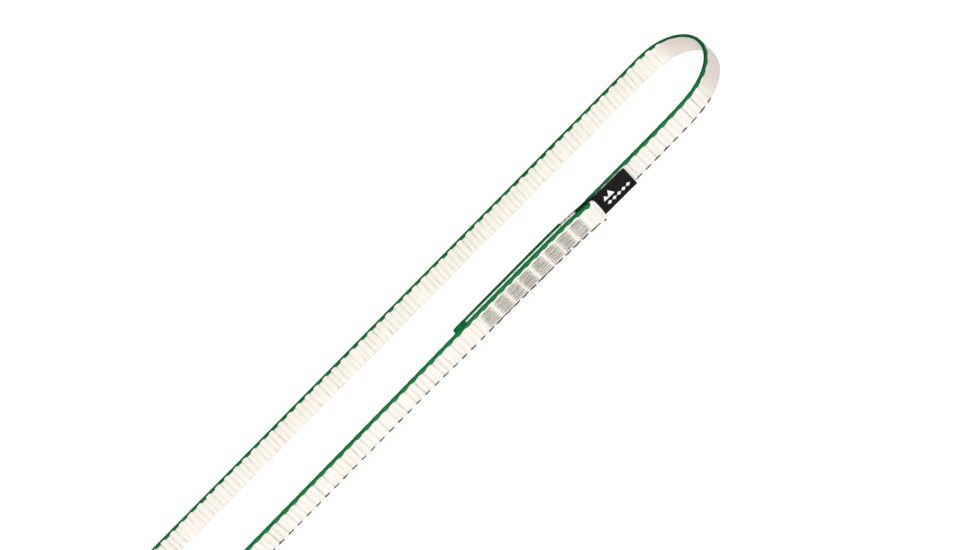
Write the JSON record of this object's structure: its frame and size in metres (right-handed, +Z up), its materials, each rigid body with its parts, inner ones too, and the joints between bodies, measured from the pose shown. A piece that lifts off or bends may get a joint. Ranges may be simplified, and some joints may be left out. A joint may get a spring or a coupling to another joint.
{
  "type": "sewn climbing sling",
  "caption": "Narrow webbing sewn into a closed runner with bartacks and a trapped woven label, for linking carabiners and anchors in climbing.",
  "frame": {"origin": "bottom centre of the bounding box: midway between the two bights and between the two strands, at the height of the lower selvedge", "axes": "+X along the loop towards the bight nearest the sewn joint, +Y from the sewn strand towards the plain strand, +Z up across the width of the webbing"},
  "size_m": [0.5794, 0.0434, 0.0117],
  "materials": {
    "webbing_white": "undyed polyethylene webbing, ribbed across its length, slight waxy sheen",
    "edge_green": "dyed green selvedge yarn, scalloped",
    "label_black": "dense woven polyester label, fine satin weave",
    "thread_grey": "twisted sewing thread in dense zigzag bartacks"
  },
  "bodies": {
    "runner": {"webbing_tape": "webbing_white", "upper_edge_yarn": "edge_green", "lower_edge_yarn": "edge_green", "label_tail": "label_black", "bartack_1_needle_thread": "thread_grey", "bartack_1_bobbin_thread": "thread_grey", "bartack_2_needle_thread": "thread_grey", "bartack_2_bobbin_thread": "thread_grey", "bartack_3_needle_thread": "thread_grey", "bartack_3_bobbin_thread": "thread_grey", "bartack_4_needle_thread": "thread_grey", "bartack_4_bobbin_thread": "thread_grey", "bartack_5_needle_thread": "thread_grey", "bartack_5_bobbin_thread": "thread_grey", "bartack_6_needle_thread": "thread_grey", "bartack_6_bobbin_thread": "thread_grey", "bartack_7_needle_thread": "thread_grey", "bartack_7_bobbin_thread": "thread_grey", "bartack_8_needle_thread": "thread_grey", "bartack_8_bobbin_thread": "thread_grey"},
    "flap": {"label_flap": "label_black"}
  },
  "joints": [
    {"name": "label_flap_hinge", "type": "hinge", "parent": "runner", "child": "flap", "pos_m": [0.21115, -0.01969, 0], "axis": [0, 0, -1], "range_deg": [-3, 85], "stiffness_Nm_per_rad": 0.00002}
  ]
}
